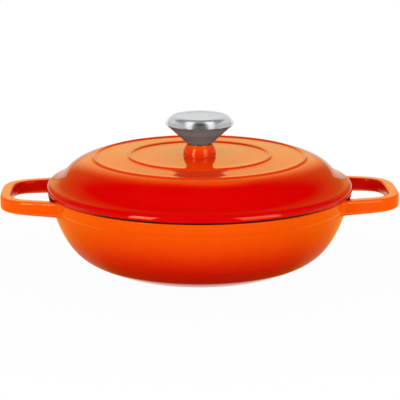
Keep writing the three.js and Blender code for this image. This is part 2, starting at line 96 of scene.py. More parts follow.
# Handles
HANDLE_SPREAD = 0.0593
HANDLE_TAPER = 0.16
HANDLE_OUTER_SQUARENESS = 4.1
HANDLE_INNER_SQUARENESS = 4.75
HANDLE_TIP_WIDTH = 0.0108
HANDLE_ARM_WIDTH = 0.0127
HANDLE_TIP_DEPTH = 0.0127
HANDLE_ROOT_DEPTH = 0.0144
HANDLE_DROP = 0.0002
HANDLE_EDGE = 0.0042
HANDLE_STATIONS = 25
HANDLE_ROOT_ANGLE = 75
HANDLE_ROOT_X = math.sqrt(RIM_RADIUS ** 2 - HANDLE_SPREAD ** 2)
HANDLE_REACH = PAN_HIGH.x - HANDLE_ROOT_X
ARM_TOP = RIM_HEIGHT - HANDLE_DROP
ARM_BOTTOM = ARM_TOP - HANDLE_ROOT_DEPTH
ROOT_COLUMNS = (6, 7, 8, 9)
ROOT_SINK = 0.0007
ROOT_FALL = 0.0022
ROOT_FILLET = 0.007
ROOT_RUN = (0.0012, 0.003, 0.006)
ROOT_HEIGHTS = (
    ARM_BOTTOM - ROOT_FALL,
    BAND_BOTTOM - BAND_LIP,
    BAND_BOTTOM,
    BAND_BOTTOM + BAND_LIP,
    (BAND_BOTTOM + ARM_TOP) / 2,
    ARM_TOP - ROOT_SINK,
)
LAST_ROW = len(ROOT_HEIGHTS) - 1
LAST_COLUMN = len(ROOT_COLUMNS) - 1

# Lid
LID_SEAT = RIM_HEIGHT + SEAT_GAP
LID_WALL = 0.0046
LID_EDGE_BELOW = 0.0027
LID_EDGE_ABOVE = 0.0058
LID_EDGE_UNDERCUT = 0.0016
LID_EDGE_ROUND = 0.0058
# Where the black coat starts on the edge's underturn, in degrees; on the outer turn it also paints the
# gap's shadow
LID_SEAT_BLACK_FROM = -22
BRIM_WIDTH = 0.0128
LEDGE_SLOPE = 20
DOME_SHARE = 0.74
DOME_FOOT_RISE = 0.0016
DOME_FOOT_ANGLE = 58
DOME_FOOT_PULL = 0.0128
DOME_RUN = 0.029
DOME_SLOPE_STEP = 0.001
TOP_RISE = 0.0315
TOP_EDGE_ANGLE = 15
TOP_EDGE_PULL = 0.017
TOP_EDGE_BLEND = 0.0025
TOP_BLEND_STEPS = 4
CROWN = 0.0022
INNER_BEAD_RADIUS = 0.0688
OUTER_BEAD_INSET = 0.005
BEAD_WIDTH = 0.0062
BEAD_HEIGHT = 0.0015
INNER_CROWN_RINGS = (0.03, 0.05)
OUTER_CROWN_RINGS = (0.08, 0.092)
HOLLOW_RINGS = (0.09, 0.06, 0.03, 0.0105)
CEILING_FLAT = 0.0095
SKIRT_OUTER = 0.1431
SKIRT_WALL = 0.004
SKIRT_EDGE = 0.0012
BOSS_TOP_RADIUS = 0.0134
BOSS_FOOT_RADIUS = 0.016
BOSS_BULGE = 0.0006
BOSS_EDGE = 0.001
BOSS_EDGE_END = 10
BOSS_FILLET = 0.0012
LID_SEGMENTS = 192

# Knob and its fastening
KNOB_NECK_RADIUS = 0.0122
KNOB_LIP_INSET = 0.0013
KNOB_LIP_EDGE = 0.00015
KNOB_LIP_SUPPORT = 0.003
KNOB_FLAT_RADIUS = 0.0256
KNOB_SHOULDER_RISE = 0.005
KNOB_SHOULDER_RUN = 0.0026
KNOB_RING_RADIUS = 0.0197
KNOB_RING_DEPTH = 0.00025
KNOB_RING_WIDTH = 0.0012
KNOB_DISC_EDGE = 0.003
KNOB_DISC_RINGS = (0.012, 0.006, 0)
KNOB_WALL = 0.0014
KNOB_PLATE = 0.0016
KNOB_EDGE = 0.0004
KNOB_NECK_EDGE = 0.0006
KNOB_SEGMENTS = 144
SCREW_HOLE_RADIUS = 0.0035
SCREW_RADIUS = 0.003
SCREW_HEAD_HEIGHT = 0.0036
THREAD_PITCH = 0.001
THREAD_DEPTH = 0.0006
THREAD_STEPS = 8
DRIVE_LENGTH = 0.0064
DRIVE_WIDTH = 0.0012
DRIVE_DEPTH = 0.0019
DRIVE_TAPER = 0.55
DRIVE_PROUD = 0.25
INSERT_RADIUS = 0.0065
INSERT_SPIGOT_RADIUS = 0.005
INSERT_FLANGE = 0.002
INSERT_BORE_RADIUS = 0.0033
INSERT_CROWN = 0.003
SPLIT_ANGLE = 12
SPLIT_SLANT = 9
WASHER_EDGE = 0.0003
SMALL_SEGMENTS = 64

# Fineness of outlines
SUPPORT = 0.0004
CORNER_SHARE = 0.45
CORNER_STEPS = 5
CURVE_STEPS = 24
BEAD_STEPS = 16
TINY = 1e-6

# Coats: colours as a screen shows them, 0 to 255, with the heights at which the enamel has them
PAN_SHADES = [
    (0.000, (176, 10, 2)),
    (0.010, (186, 12, 2)),
    (0.022, (204, 18, 2)),
    (0.032, (224, 38, 2)),
    (0.044, (238, 66, 2)),
    (0.058, (246, 84, 2)),
    (0.074, (250, 91, 2)),
]
# The lid's enamel is red on the dome and orange on the top; the brighter orange just under the top edge,
# about 0.1035 to 0.105, is also a painted reflection
LID_SHADES = [
    (0.074, (210, 2, 1)),
    (0.1015, (212, 2, 1)),
    (0.1035, (222, 26, 2)),
    (0.105, (230, 68, 2)),
    (0.107, (226, 56, 2)),
    (0.111, (244, 54, 2)),
    (0.115, (252, 72, 2)),
    (0.120, (255, 106, 2)),
]
DEEP_RED = (212, 12, 2)
# Painted shade where the handles meet the wall
ROOT_SHADE = (138, 6, 1)
# Painted highlight along the lower edge of the rim's band
BAND_HIGHLIGHT = (255, 128, 30)
CREAM = (232, 221, 198)
CREAM_CLOUD = (226, 212, 186)
CREAM_SPECK = (120, 100, 80)
BLACK_COAT = (26, 9, 7)
BLACK_GRAIN = (46, 18, 15)
RUBBER = (26, 26, 27)
RUBBER_GRAIN = (46, 46, 47)
CAP_PALE = (206, 207, 208)
CAP_DARK = (184, 185, 187)
CONE_PALE = (116, 134, 131)
CONE_DARK = (78, 97, 95)
CONE_MIRROR = {"Metallic": 0.2, "Specular IOR Level": 0.2}
SCREW_PALE = (196, 197, 199)
SCREW_DARK = (160, 161, 164)
BRASS_PALE = (206, 172, 106)
BRASS_DARK = (170, 136, 78)
ENAMEL_IOR = 1.5
BLACK_IOR = 1.45
RUBBER_IOR = 1.5
PLAIN_SPECULAR = 0.5
NOISE_RANGE = (0.3, 0.7)
SMEAR_RANGE = (0.35, 0.75)
SPECK_RANGE = (0.06, 0.1)
SPECK_SHARE = 0.55
SHADE_DRIFT = 0.002
# Width, strength and fading across the front of the band's painted highlight
BAND_LINE_WIDTH = 0.0012
BAND_LINE_SHARE = 0.6
BAND_LINE_ACROSS = (0.06, 0.125)
BAND_LINE_LEAST = 0.2
LOOP_MIDDLE = 0.158
LOOP_INSIDE = (-0.003, -0.009)
LOOP_ROOT_REACH = 0.006
LOOP_ROOT_FADE = 0.007
ARM_FADE = 0.006
BLACK_FADES_ACROSS = (0.085, 0.13)
SPIN_RANGE = (0.35, 0.65)
SPIN_SHARE = 0.6
SPIN_DRIFT = 0.0004

# View: the photograph's frame is square
CAMERA_TARGET = Vector((0.0004, 0.0, 0.06245))
CAMERA_DISTANCE = 1.7
CAMERA_ELEVATION = 13.236
CAMERA_AZIMUTH = -1.8
CAMERA_LENS = 155.2
CAMERA_SENSOR = 36

# Table top, whose colours in mirror images are painted light and shade from the pan, from the front of the
# pan, 0, to the back, 1
WHITE = (1, 1, 1, 1)
FLOOR_RADIUS = 0.62
FLOOR_SEGMENTS = 96
FLOOR_DARKER = (0.86, 0.86, 0.86, 1)
FLOOR_PALER = (0.9, 0.9, 0.9, 1)
FLOOR_FADE = (0.2, 0.46)
FLOOR_GLOW = 0.97
FLOOR_MIRRORED = [
    (0.0, (0.3, 0.03, 0.003, 1)),
    (0.2, (0.4, 0.13, 0.003, 1)),
    (0.35, (0.7, 0.33, 0.005, 1)),
    (0.65, (1, 0.5, 0.1, 1)),
    (0.85, (1, 0.53, 0.17, 1)),
    (1.0, (0.8, 0.56, 0.45, 1)),
]
FLOOR_AT_FOOT = (1, 0.9, 0.85, 1)
FLOOR_BESIDE_FOOT = (0.75, 0.3, 0.2, 1)
# Painted shade under the pan, as mirror images show it
FLOOR_UNDER_PAN = (0.03, 0.02, 0.02, 1)
FOOT_GLEAM = (BASE_RADIUS + 0.002, BASE_RADIUS + 0.01)
BESIDE_REACH = (0.125, 0.165)
BESIDE_TURN = (0.19, 0.42)

# World
SKY_LOW = 0.42
SKY_HIGH = 0.88
SKY_GROUND = 0.78
GROUND_FADE = 0.1
SIDES_LEVEL = 0.1
SIDES_ACROSS = (0.7, 0.95)
SIDES_RISE = (0.4, 0.7)
FAR_FLOOR = (0.36, 0.44, 0.54, 1)
FAR_FLOOR_TOP = 0.08

# Lamps: the azimuth is counted from the camera's side
Lamp = namedtuple("Lamp", "azimuth elevation distance width height brightness colour", defaults=[WHITE[:3]])
LAMP_TARGET = Vector((0, 0, 0.09))
SOFTBOX_WARMTH = (1, 0.75, 0.33)
BACKDROP_WARMTH = (1, 0.92, 0.4)
HALO_WARMTH = (1, 0.6, 0.08)
LEFT_SOFTBOX = Lamp(-43.5, 18, 1.5, 0.46, 1.0, 6.2, SOFTBOX_WARMTH)
RIGHT_SOFTBOX = Lamp(42, 18, 1.5, 0.8, 1.1, 2.9, SOFTBOX_WARMTH)
WARM_BACKDROP = Lamp(180, 23, 1.8, 1.8, 1.68, 0.75, BACKDROP_WARMTH)
HALO = Lamp(180, 12, 1.8, 7.5, 5, 0.45, HALO_WARMTH)
WHITE_BACKDROP = Lamp(180, 23, 1.8, 6.4, 1.68, 1)
TALL_SOFTBOX = Lamp(49, 49, 1.5, 0.54, 1.95, 1.8)
SIDE_CARD = Lamp(92, 22, 1.4, 1.9, 1.1, 0.75)
CEILING = Lamp(180, 78, 1.2, 3.2, 1.3, 0.36)
FRONT_CARD = Lamp(0, 24, 1.5, 1.1, 1.2, 0.2)
KNOB_LAMP = Lamp(0, 0, 0.9, 0.8, 0.4, 8)
WARM_PLATEAU = 0.42
WARM_FULL_AT = 0.24
WARM_DIM_FROM = 0.3
HALO_PLATEAU = 0.25
WHITE_PLATEAU = 0.3
TALL_LEAN = 22.5
FIRST_SIGHT_DEPTH = 1.5


# Outlines: points of radius and height
def spots(*pairs):
    return [Vector(pair) for pair in pairs]


def polar(start, degrees, distance):
    """The point at a distance from another, in a direction given in degrees from the outward radius."""
    turn = math.radians(degrees)
    return Vector((start[0] + distance * math.cos(turn), start[1] + distance * math.sin(turn)))


def bezier(controls, share):
    """The point at a share of the way along a Bezier curve."""
    points = spots(*controls)
    while len(points) > 1:
        points = [a.lerp(b, share) for a, b in zip(points, points[1:])]
    return points[0]


def curve(controls, steps=CURVE_STEPS):
    return [bezier(controls, i / steps) for i in range(steps + 1)]


def ellipse_arc(centre, across, up, start, end, steps=CURVE_STEPS // 2):
    """Part of an ellipse between two angles in degrees."""
    turns = [math.radians(start + (end - start) * i / steps) for i in range(steps + 1)]
    return [Vector((centre[0] + across * math.cos(t), centre[1] + up * math.sin(t))) for t in turns]


def offset(outline, distance):
    """The same outline moved to the left of its direction of travel."""
    moved = []
    for i, here in enumerate(outline):
        along = outline[min(i + 1, len(outline) - 1)] - outline[max(i - 1, 0)]
        along.normalize()
        moved.append(here + Vector((-along.y, along.x)) * distance)
    return moved


def rounded_corner(before, here, after, rounding):
    """A circular corner between two straight stretches, with a support point on each side of it."""
    back = before - here
    forth = after - here
    turn = math.pi - back.angle(forth)
    reach = min(rounding * math.tan(turn / 2), CORNER_SHARE * back.length, CORNER_SHARE * forth.length)
    pull = 4 / 3 * math.tan(turn / 4) / math.tan(turn / 2)
    back_way, forth_way = back.normalized(), forth.normalized()
    start, end = here + back_way * reach, here + forth_way * reach
    points = curve((start, start.lerp(here, pull), end.lerp(here, pull), end), CORNER_STEPS)
    if reach + SUPPORT < back.length / 2:
        points.insert(0, start + back_way * SUPPORT)
    if reach + SUPPORT < forth.length / 2:
        points.append(end + forth_way * SUPPORT)
    return points


def softened(corners, closed=True):
    """An outline through corners of radius, height and rounding."""
    places = [Vector(c[:2]) for c in corners]
    outline = []
    for i, (_, _, rounding) in enumerate(corners):
        at_end = not closed and i in (0, len(corners) - 1)
        if rounding == 0 or at_end:
            outline.append(places[i])
        else:
            outline += rounded_corner(places[i - 1], places[i], places[(i + 1) % len(places)], rounding)
    return outline


# Meshes
def on_circle(radius, turn, height):
    return (radius * math.cos(turn), radius * math.sin(turn), height)


def bridge(near, far):
    """The faces between two rings of vertices. A ring can be one vertex repeated."""
    faces = []
    for i in range(len(near)):
        j = (i + 1) % len(near)
        face = tuple(dict.fromkeys((near[i], near[j], far[j], far[i])))
        if len(face) > 2:
            faces.append(face)
    return faces


def swept(rings):
    """The faces along a row of rings."""
    return [face for near, far in zip(rings, rings[1:]) for face in bridge(near, far)]


def mesh_object(name, vertices, faces, finishes, strips=None):
    """A smooth closed mesh. strips gives the finish of each face by number."""
    mesh = bpy.data.meshes.new(name)
    mesh.from_pydata([tuple(v) for v in vertices], [], faces)
    for finish in finishes:
        mesh.materials.append(finish)
    mesh.polygons.foreach_set("material_index", strips or [0] * len(faces))
    mesh.polygons.foreach_set("use_smooth", [True] * len(faces))
    shell = bmesh.new()
    shell.from_mesh(mesh)
    bmesh.ops.recalc_face_normals(shell, faces=shell.faces)
    shell.to_mesh(mesh)
    shell.free()
    made = bpy.data.objects.new(name, mesh)
    bpy.context.scene.collection.objects.link(made)
    return made


def lathe(outline, segments, wave=None):
    """Vertices of an outline turned about Z, and their numbers by ring. wave is a change of radius."""
    vertices, rings = [], []
    for radius, height in outline:
        first = len(vertices)
        if radius < TINY:
            rings.append([first] * segments)
            vertices.append((0, 0, height))
            continue
        rings.append(range(first, first + segments))
        for i in range(segments):
            turn = 2 * math.pi * i / segments
            reach = radius + (wave(turn, radius, height) if wave else 0)
            vertices.append(on_circle(reach, turn, height))
    return vertices, rings


def turned(name, outline, segments, finishes, stretches=None, closed=True, wave=None):
    """A body turned about Z. stretches gives the finish of each stretch of the outline by number."""
    vertices, rings = lathe(outline, segments, wave)
    if closed:
        rings.append(rings[0])
    faces, strips = [], []
    for near, far, finish in zip(rings, rings[1:], stretches or [0] * len(outline)):
        faces += bridge(near, far)
        strips += [finish] * (len(faces) - len(strips))
    return mesh_object(name, vertices, faces, finishes, strips)


def carved(target, cutter):
    """Takes the cutter's shape out of the target."""
    cut = target.modifiers.new("carve", "BOOLEAN")
    cut.operation = "DIFFERENCE"
    cut.solver = "EXACT"
    cut.object = cutter
    graph = bpy.context.evaluated_depsgraph_get()
    mesh = bpy.data.meshes.new_from_object(target.evaluated_get(graph))
    target.modifiers.clear()
    target.data = mesh
    bpy.data.objects.remove(cutter)


def dress(piece, body, node):
    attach(piece, body)
    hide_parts(node)


# Nodes
def blank_tree(owner):
    """The emptied node tree of a material, a world or a lamp."""
    owner.use_nodes = True
    owner.node_tree.nodes.clear()
    return owner.node_tree


def add(tree, kind, inputs=None, **settings):
    """A shader node with its settings. Each input is a value, or a socket to link from."""
    made = tree.nodes.new("ShaderNode" + kind)
    for key, value in settings.items():
        setattr(made, key, value)
    for key, value in (inputs or {}).items():
        if isinstance(value, bpy.types.NodeSocket):
            tree.links.new(value, made.inputs[key])
        else:
            made.inputs[key].default_value = value
    return made


def follow(kind, inputs, output=0, **settings):
    """The output of a new node, in the tree of the sockets that feed it."""
    tree = next(value.id_data for value in inputs.values() if isinstance(value, bpy.types.NodeSocket))
    return add(tree, kind, inputs, **settings).outputs[output]


def maths(operation, *values):
    return follow("Math", dict(enumerate(values)), operation=operation)


def product(first, *others):
    for other in others:
        first = maths("MULTIPLY", first, other)
    return first


def split(vector):
    return add(vector.id_data, "SeparateXYZ", {0: vector}).outputs


def length(vector):
    return follow("VectorMath", {0: vector}, "Value", operation="LENGTH")


def remap(value, low, high, to_low=0, to_high=1, smooth=False):
    inputs = {"Value": value, "From Min": low, "From Max": high, "To Min": to_low, "To Max": to_high}
    return follow("MapRange", inputs, interpolation_type="SMOOTHSTEP" if smooth else "LINEAR")


def noise(place, scale, detail):
    return follow("TexNoise", {"Vector": place, "Scale": scale, "Detail": detail})


def varied(place, scale, detail, low, high):
    """A value that noise moves between two others."""
    return remap(noise(place, scale, detail), *NOISE_RANGE, low, high)


def tinted(factor, first, second, blend="MIX"):
    return follow("Mix", {0: factor, 6: first, 7: second}, 2, data_type="RGBA", blend_type=blend)


def bump(height, distance, normal=None):
    inputs = {"Height": height, "Distance": distance, "Strength": 1}
    if normal:
        inputs["Normal"] = normal
    return follow("Bump", inputs)


def ramp(value, stops):
    """Colours along a value from 0 to 1."""
    made = add(value.id_data, "ValToRGB", {0: value})
    elements = made.color_ramp.elements
    while len(elements) < len(stops):
        elements.new(1)
    for element, (position, colour) in zip(elements, stops):
        element.position = position
        element.color = colour
    return made.outputs["Color"]


def linear(red, green, blue):
    """A screen colour, 0 to 255, as the light that it stands for."""
    shares = [c / 255 for c in (red, green, blue)]
    return [s / 12.92 if s <= 0.04045 else ((s + 0.055) / 1.055) ** 2.4 for s in shares] + [1]


def between(factor, first, second):
    """A mix of two screen colours."""
    return tinted(factor, linear(*first), linear(*second))


def radius_from_axis(at):
    return maths("SQRT", maths("MULTIPLY_ADD", at["X"], at["X"], product(at["Y"], at["Y"])))


# Finishes
def new_material(name):
    """A material with no nodes yet but the place on the piece, which its finish varies with."""
    material = bpy.data.materials.new(name)
    return material, add(blank_tree(material), "TexCoord").outputs["Object"]


def finished(material, colour, rough, normal, others):
    """Ends a material with one surface shader. Inputs that are constant are set on the shader itself."""
    inputs = {"Base Color": colour, "Roughness": rough, "Normal": normal, **others}
    surface = follow("BsdfPrincipled", inputs)
    add(material.node_tree, "OutputMaterial", {"Surface": surface})
    return material


def at_arms(at):
    """1 at the height of the handles' arms, fading below them."""
    return remap(at["Z"], ARM_BOTTOM - ARM_FADE, ARM_BOTTOM)


def painted_root_shade(at):
    """1 where a handle meets the wall, on the loop's side, where shade is painted on as a dark colour and
    the gloss is turned down.
    """
    near_wall = remap(radius_from_axis(at), RIM_RADIUS + LOOP_ROOT_REACH, RIM_RADIUS + LOOP_ROOT_REACH / 3)
    within_loop = remap(maths("ABSOLUTE", at["Y"]), HANDLE_SPREAD, HANDLE_SPREAD - LOOP_ROOT_FADE)
    return product(near_wall, within_loop, at_arms(at))


def loop_insides(at):
    """1 on the faces that look into a handle's loop, which are coloured a deeper red."""
    facing = split(add(at["X"].id_data, "TexCoord").outputs["Normal"])
    outward = product(facing["X"], maths("SIGN", at["X"]))
    beyond = maths("SUBTRACT", maths("ABSOLUTE", at["X"]), LOOP_MIDDLE)
    away = maths("MULTIPLY_ADD", outward, beyond, product(facing["Y"], at["Y"]))
    return product(remap(away, *LOOP_INSIDE), at_arms(at))


def painted_band_highlight(at):
    """How strongly a highlight is painted along the lower edge of the rim's band, which shows least in the
    middle.
    """
    off_edge = maths("ABSOLUTE", maths("SUBTRACT", at["Z"], BAND_BOTTOM))
    thin = remap(off_edge, 0, BAND_LINE_WIDTH, BAND_LINE_SHARE, 0)
    across = maths("ABSOLUTE", at["X"])
    return product(thin, remap(across, *BAND_LINE_ACROSS, BAND_LINE_LEAST, 1, smooth=True))


def enamel(name, shades, with_handles=False):
    """Gloss vitreous enamel that shades with height, slightly uneven in colour, gloss and flatness."""
    material, place = new_material(name)
    at = split(place)
    others = {"IOR": ENAMEL_IOR}
    drift = remap(noise(place, scale=16, detail=3), 0, 1, -SHADE_DRIFT, SHADE_DRIFT)
    low, high = shades[0][0], shades[-1][0]
    share = remap(maths("ADD", at["Z"], drift), low, high)
    colour = ramp(share, [((level - low) / (high - low), linear(*shade)) for level, shade in shades])
    if with_handles:
        # Painted shade at the handles' roots: a dark colour and no gloss
        root = painted_root_shade(at)
        others["Specular IOR Level"] = remap(root, 0, 1, PLAIN_SPECULAR, 0)
        # A deeper red inside the loops, painted shade at the roots and a painted highlight on the band's
        # edge
        overlays = ((loop_insides(at), DEEP_RED), (root, ROOT_SHADE), (painted_band_highlight(at), BAND_HIGHLIGHT))
        for factor, coat in overlays:
            colour = tinted(factor, colour, linear(*coat))
    mottle = varied(place, scale=140, detail=4, low=0.95, high=1)
    colour = tinted(1, colour, follow("CombineColor", {0: mottle, 1: mottle, 2: mottle}), "MULTIPLY")
    smears = remap(noise(place, scale=45, detail=5), *SMEAR_RANGE, 0.05, 0.1)
    waves = bump(noise(place, scale=30, detail=1), distance=0.00006)
    peel = bump(noise(place, scale=330, detail=2), distance=0.000006, normal=waves)
    return finished(material, colour, smears, peel, others)


def cream_enamel():
    """The pale lining, with the fine dark specks of fired enamel."""
    material, place = new_material("cream enamel")
    lining = between(varied(place, scale=25, detail=3, low=0, high=1), CREAM, CREAM_CLOUD)
    cells = follow("TexVoronoi", {"Vector": place, "Scale": 260}, "Distance")
    colour = tinted(remap(cells, *SPECK_RANGE, SPECK_SHARE, 0), lining, linear(*CREAM_SPECK))
    rough = varied(place, scale=60, detail=4, low=0.12, high=0.22)
    peel = bump(noise(place, scale=300, detail=2), distance=0.00001)
    return finished(material, colour, rough, peel, {"IOR": ENAMEL_IOR})


def matt_black(name, fades_to_red_beyond=None):
    """The thin matt coat where gloss enamel would chip. Beyond a radius, on the lid edge's outer underturn,
    it also paints the shadow of the gap on the rim, and there it fades to red at the sides.
    """
    material, place = new_material(name)
    grain = noise(place, scale=700, detail=4)
    colour = between(grain, BLACK_COAT, BLACK_GRAIN)
    # The painted shadow of the gap fades to red towards the sides
    if fades_to_red_beyond:
        at = split(place)
        sideways = remap(maths("ABSOLUTE", at["X"]), *BLACK_FADES_ACROSS, smooth=True)
        outer = remap(radius_from_axis(at), fades_to_red_beyond - SUPPORT, fades_to_red_beyond)
        colour = tinted(product(sideways, outer), colour, linear(*DEEP_RED))
    rough = varied(place, scale=90, detail=3, low=0.35, high=0.5)
    return finished(material, colour, rough, bump(grain, distance=0.00006), {"IOR": BLACK_IOR})


def spun_steel(name, pale, dark, smoothest, roughest, mirror=None):
    """Stainless steel with fine rings round Z from spinning and brushing. mirror can make it duller."""
    material, place = new_material(name)
    at = split(place)
    wavering = maths("ADD", radius_from_axis(at), product(noise(place, scale=40, detail=2), SPIN_DRIFT))
    profile = follow("CombineXYZ", {0: wavering, 2: at["Z"]})
    rings = noise(profile, scale=2600, detail=3)
    bands = remap(noise(profile, scale=420, detail=2), *SPIN_RANGE)
    streaks = maths("MULTIPLY_ADD", bands, SPIN_SHARE, product(rings, 1 - SPIN_SHARE))
    both = maths("ADD", rings, noise(place, scale=110, detail=4))
    rough = remap(both, 2 * NOISE_RANGE[0], 2 * NOISE_RANGE[1], smoothest, roughest)
    others = mirror or {"Metallic": 1}
    return finished(material, between(streaks, dark, pale), rough, bump(rings, distance=0.000004), others)


def machined_metal(name, pale, dark, smoothest, roughest):
    """A turned fastener's metal, with tool marks and faint stains."""
    material, place = new_material(name)
    marks = noise(place, scale=1800, detail=4)
    colour = between(noise(place, scale=260, detail=4), dark, pale)
    rough = remap(marks, *NOISE_RANGE, smoothest, roughest)
    return finished(material, colour, rough, bump(marks, distance=0.000006), {"Metallic": 1})


def rubber():
    material, place = new_material("gasket rubber")
    grain = noise(place, scale=900, detail=3)
    rough = remap(grain, *NOISE_RANGE, 0.6, 0.8)
    normal = bump(grain, distance=0.00003)
    return finished(material, between(grain, RUBBER, RUBBER_GRAIN), rough, normal, {"IOR": RUBBER_IOR})


# Pan: a coarse cage that subdivision smooths, with the handles' arms growing out of the wall
OUTSIDE, RIM, INSIDE = range(3)


def pan_wall():
    foot = Vector((BASE_RADIUS, 0))
    rim = Vector((RIM_RADIUS - BAND_PROUD, RIM_HEIGHT))
    foot_pull = polar(foot, WALL_FOOT_ANGLE, WALL_FOOT_PULL)
    rim_pull = polar(rim, 270 - WALL_RIM_LEAN, WALL_RIM_PULL)
    return curve((foot, foot_pull, rim_pull, rim), WALL_STEPS)


WALL = pan_wall()
LINING = offset(WALL, PAN_WALL)


def radius_at(outline, height):
    """The radius of a rising outline at a height."""
    above = next(i for i, p in enumerate(outline) if p.y >= height)
    low, high = outline[max(above - 1, 0)], outline[above]
    share = (height - low.y) / (high.y - low.y) if high.y > low.y else 0
    return low.lerp(high, share).x


def outer_radius(height):
    proud = BAND_PROUD if height > BAND_BOTTOM else 0
    return min(radius_at(WALL, height) + proud, RIM_RADIUS)


def pan_profile():
    """The cage's outline with the finish from each point on, and its number of points below the handles.

    It runs from the middle of the base up the outside, over the rim and down to the middle of the floor.
    """
    foot_inner = BASE_RADIUS - FOOT_WIDTH
    recess_edge = foot_inner - FOOT_RECESS
    foot = (foot_inner, foot_inner + FOOT_EDGE, BASE_RADIUS - 2 * FOOT_EDGE, BASE_RADIUS)
    base = [(r, FOOT_RECESS) for r in (0, *BASE_RINGS, recess_edge - 2 * FOOT_EDGE, recess_edge)]
    base += [(r, 0) for r in foot]
    wall = [(radius_at(WALL, h), h) for h in WALL_RINGS]
    band = [(outer_radius(h), h) for h in ROOT_HEIGHTS]
    rim_corner = RIM_EDGE / 3
    rim_outer = [(RIM_RADIUS, RIM_HEIGHT - rim_corner), (RIM_RADIUS - rim_corner, RIM_HEIGHT)]
    mouth = radius_at(LINING, RIM_HEIGHT - RIM_EDGE)
    rim_top = [(r, RIM_HEIGHT) for r in (RIM_RADIUS - RIM_EDGE, mouth + RIM_EDGE, mouth)]
    lining = [(mouth, RIM_HEIGHT - RIM_EDGE)] + [(radius_at(LINING, h), h) for h in LINING_RINGS]
    corner = radius_at(LINING, PAN_FLOOR + PAN_WALL)
    corner_rise = FLOOR_BLEND / 10
    floor = [(corner, PAN_FLOOR + PAN_WALL), (corner - FLOOR_BLEND / 2, PAN_FLOOR + corner_rise)]
    floor += [(r, PAN_FLOOR) for r in (*(corner - run for run in FLOOR_RINGS), 0)]
    stretches = ((base + wall + band + rim_outer, OUTSIDE), (rim_top, RIM), (lining + floor, INSIDE))
    profile = [(*point, finish) for points, finish in stretches for point in points]
    return profile, len(base + wall)


# A ring of an arm runs from its top inner corner along the top, down, back along the bottom and up
RING_ORDER = [(c, LAST_ROW) for c in range(LAST_COLUMN + 1)]
RING_ORDER += [(LAST_COLUMN, r) for r in range(LAST_ROW - 1, 0, -1)]
RING_ORDER += [(c, 0) for c in range(LAST_COLUMN, -1, -1)]
RING_ORDER += [(0, r) for r in range(1, LAST_ROW)]


def arm_heights(share):
    """Heights of the rows of an arm, at a share of the way from its root to the tip."""
    depth = HANDLE_ROOT_DEPTH + (HANDLE_TIP_DEPTH - HANDLE_ROOT_DEPTH) * share
    middle = ARM_TOP - depth / 2
    inset = depth / 2 - HANDLE_EDGE
    return [ARM_TOP - depth, *(middle + inset * s for s in (-1, -1 / 3, 1 / 3, 1)), ARM_TOP]


def arm_columns(inner, outer):
    """Plan points across an arm, from its inner side to its outer side."""
    across = (outer - inner).normalized()
    return [inner, inner + across * HANDLE_EDGE, outer - across * HANDLE_EDGE, outer]


def loop_point(turn, reach, spread, squareness):
    """A point of a loop's plan: a superellipse that narrows towards its tip."""
    along, across = math.cos(turn), math.sin(turn)
    size = (along ** squareness + abs(across) ** squareness) ** (-1 / squareness)
    narrowing = 1 - HANDLE_TAPER * along * size
    return Vector((HANDLE_ROOT_X + reach * along * size, spread * across * size * narrowing))


def loop_ring(turn):
    inner_reach, inner_spread = HANDLE_REACH - HANDLE_TIP_WIDTH, HANDLE_SPREAD - HANDLE_ARM_WIDTH
    outer = loop_point(turn, HANDLE_REACH, HANDLE_SPREAD, HANDLE_OUTER_SQUARENESS)
    inner = loop_point(turn, inner_reach, inner_spread, HANDLE_INNER_SQUARENESS)
    columns = arm_columns(inner, outer)
    heights = arm_heights((outer.x - HANDLE_ROOT_X) / HANDLE_REACH)
    return [(columns[c].x, columns[c].y, heights[r]) for c, r in RING_ORDER]


def root_ring(distance, side):
    """A ring of the fillet where an arm runs into the wall, at a distance from it. side is 1 or -1."""
    depth = 1 - distance / ROOT_FILLET
    spread = 1 - math.sqrt(1 - depth * depth)
    inner, outer = Vector((0, HANDLE_SPREAD - HANDLE_ARM_WIDTH)), Vector((0, HANDLE_SPREAD))
    columns = arm_columns(inner, outer)
    heights = arm_heights(0)
    ring = []
    for c, r in RING_ORDER:
        wall_turn = 2 * math.pi * ROOT_COLUMNS[c] / PAN_COLUMNS
        wall_across = outer_radius(ROOT_HEIGHTS[r]) * math.sin(wall_turn)
        across = columns[c].y + (wall_across - columns[c].y) * spread
        height = heights[r] + (ROOT_HEIGHTS[r] - heights[r]) * spread
        ring.append((math.sqrt(outer_radius(height) ** 2 - across ** 2) + distance, side * across, height))
    return ring


def handle_rings():
    first = [root_ring(d, -1) for d in ROOT_RUN]
    last = [root_ring(d, 1) for d in reversed(ROOT_RUN)]
    limit = math.radians(HANDLE_ROOT_ANGLE)
    steps = HANDLE_STATIONS - 1
    return first + [loop_ring(limit * (2 * i / steps - 1)) for i in range(HANDLE_STATIONS)] + last


def open_cells(root_row, middles):
    """Cells of the wall that make way for the handles' arms."""
    cells = set()
    for middle in middles:
        for c in ROOT_COLUMNS[:-1]:
            for column in (middle + c, middle - c - 1):
                cells |= {(root_row + r, column % PAN_COLUMNS) for r in range(LAST_ROW)}
    return cells


def wall_ring(root_rings, middle, side):
    """The vertices of the wall that an arm runs into, in the order of the arm's rings."""
    columns = [(middle + side * c) % PAN_COLUMNS for c in ROOT_COLUMNS]
    return [root_rings[r][columns[c]] for c, r in RING_ORDER]


